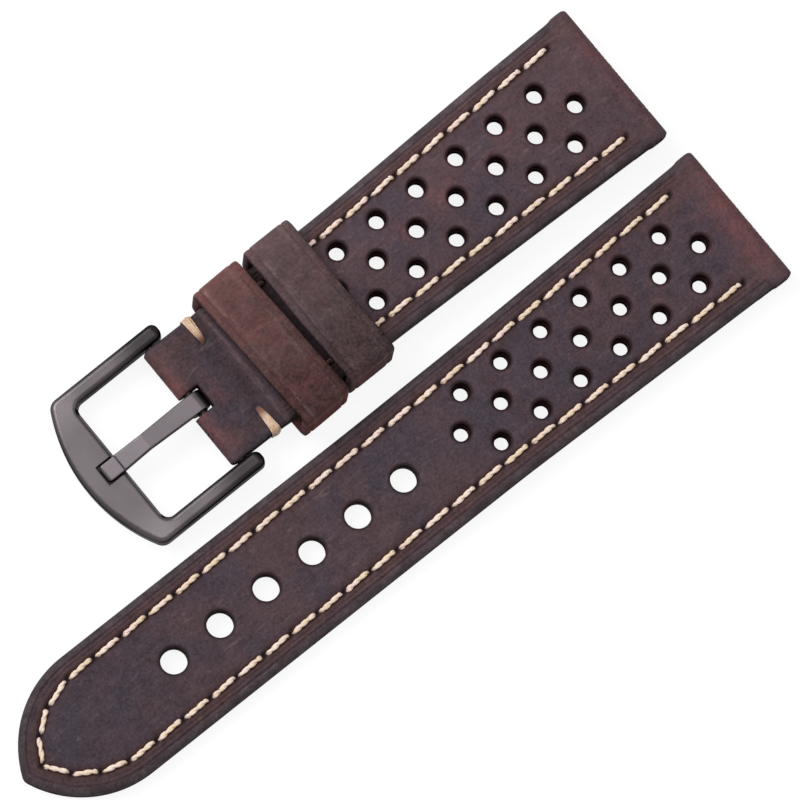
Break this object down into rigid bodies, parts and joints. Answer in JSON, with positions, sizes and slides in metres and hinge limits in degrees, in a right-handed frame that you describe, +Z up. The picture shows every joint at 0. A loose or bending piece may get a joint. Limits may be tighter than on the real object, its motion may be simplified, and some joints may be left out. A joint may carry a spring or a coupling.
{
  "type": "leather watch strap",
  "caption": "Two-piece perforated leather watch strap with contrast stitching, a pin buckle, a fixed keeper and a sliding keeper.",
  "frame": {"origin": "on the surface that the strap lies on, under the middle of the whole strap", "axes": "+X runs along the strap from the tail's tip to the ends that meet the watch, +Y runs across from the long half to the short half with the buckle, +Z is up out of the show face"},
  "size_m": [0.1249, 0.0486, 0.0089],
  "materials": {
    "outer_leather": "oiled pull-up leather, dark aubergine brown with burgundy patches, satin",
    "lining_leather": "matt brown lining leather",
    "filler_board": "bonded leather board, edge-dyed dark",
    "fixed_keeper_leather": "oiled pull-up leather, burgundy brown",
    "free_keeper_leather": "oiled pull-up leather, grey brown",
    "thread": "waxed twisted thread, cream",
    "seam_thread": "waxed thread, dark brown",
    "buckle_metal": "gunmetal, satin blasted",
    "bar_steel": "plain steel"
  },
  "bodies": {
    "short_half": {"short_top_leather": "outer_leather", "short_lining_leather": "lining_leather", "short_filler": "filler_board", "short_needle_thread": "thread", "short_bobbin_thread": "thread", "fold_tack_far": "thread", "fold_tack_near": "thread", "fixed_keeper": "fixed_keeper_leather", "fixed_keeper_seam": "seam_thread", "bar_tube": "bar_steel", "bar_spring": "bar_steel"},
    "buckle_frame": {"buckle_frame": "buckle_metal"},
    "buckle_tongue": {"buckle_tongue": "buckle_metal"},
    "bar_tip_far": {"bar_tip_far": "bar_steel"},
    "bar_tip_near": {"bar_tip_near": "bar_steel"},
    "free_keeper": {"free_keeper": "free_keeper_leather", "free_keeper_seam": "seam_thread"},
    "long_half": {"tail_top_leather": "outer_leather", "tail_lining_leather": "lining_leather", "tail_filler": "filler_board", "tail_needle_thread": "thread", "tail_bobbin_thread": "thread"}
  },
  "joints": [
    {"name": "frame_hinge", "type": "hinge", "parent": "short_half", "child": "buckle_frame", "pos_m": [-0.0126, 0.01195, 0.003], "axis": [0, 1, 0], "range_deg": [-90, 15]},
    {"name": "tongue_hinge", "type": "hinge", "parent": "buckle_frame", "child": "buckle_tongue", "pos_m": [-0.0126, 0.01195, 0.003], "axis": [0, 1, 0], "range_deg": [0, 80]},
    {"name": "far_tip_slide", "type": "slide", "parent": "short_half", "child": "bar_tip_far", "axis": [0, -1, 0], "range_m": [0, 0.00125], "stiffness_N_per_m": 300, "springref_m": -0.001, "deforming": ["bar_spring"]},
    {"name": "near_tip_slide", "type": "slide", "parent": "short_half", "child": "bar_tip_near", "axis": [0, 1, 0], "range_m": [0, 0.00125], "stiffness_N_per_m": 300, "springref_m": -0.001},
    {"name": "keeper_slide", "type": "slide", "parent": "short_half", "child": "free_keeper", "axis": [1, 0, 0], "range_m": [-0.0005, 0.01]},
    {"name": "long_half_lift", "type": "slide", "parent": "short_half", "child": "long_half", "axis": [0, 0, 1], "range_m": [0, 0.03]}
  ]
}
